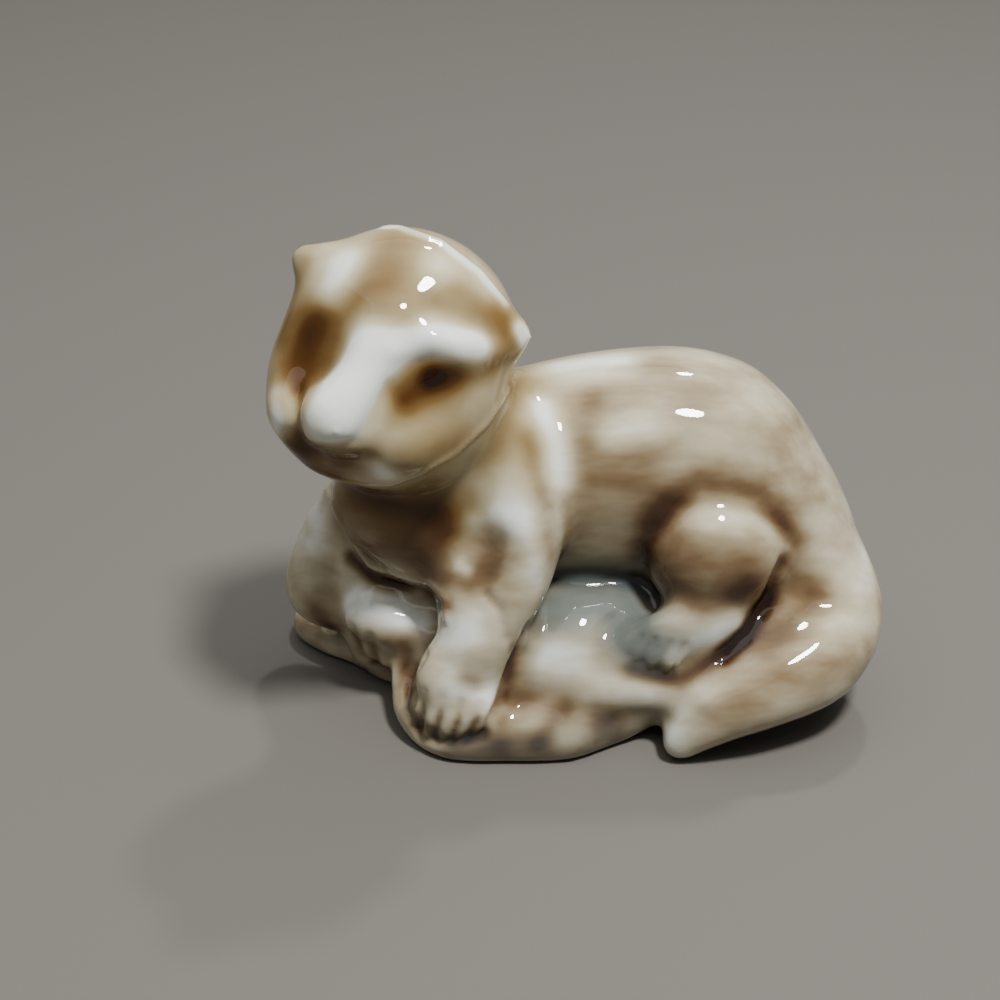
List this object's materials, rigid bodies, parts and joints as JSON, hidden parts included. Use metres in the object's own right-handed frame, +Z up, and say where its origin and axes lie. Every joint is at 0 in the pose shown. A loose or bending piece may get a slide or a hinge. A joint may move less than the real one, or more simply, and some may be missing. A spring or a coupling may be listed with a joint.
{
  "type": "otter figurine",
  "caption": "Small glazed porcelain otter lying on a rock with its head turned, in one piece with the rock, on a flat underside.",
  "frame": {"origin": "on the flat underside, on the table, near the middle of the rock", "axes": "+X along the body from the chest to the rump, -Y the side that the face looks to, +Z up"},
  "size_m": [0.0347, 0.0185, 0.0281],
  "materials": {
    "glazed_porcelain": "clear gloss glaze over cream and honey brown"
  },
  "bodies": {
    "root": {"otter_on_rock": "glazed_porcelain"}
  },
  "joints": []
}
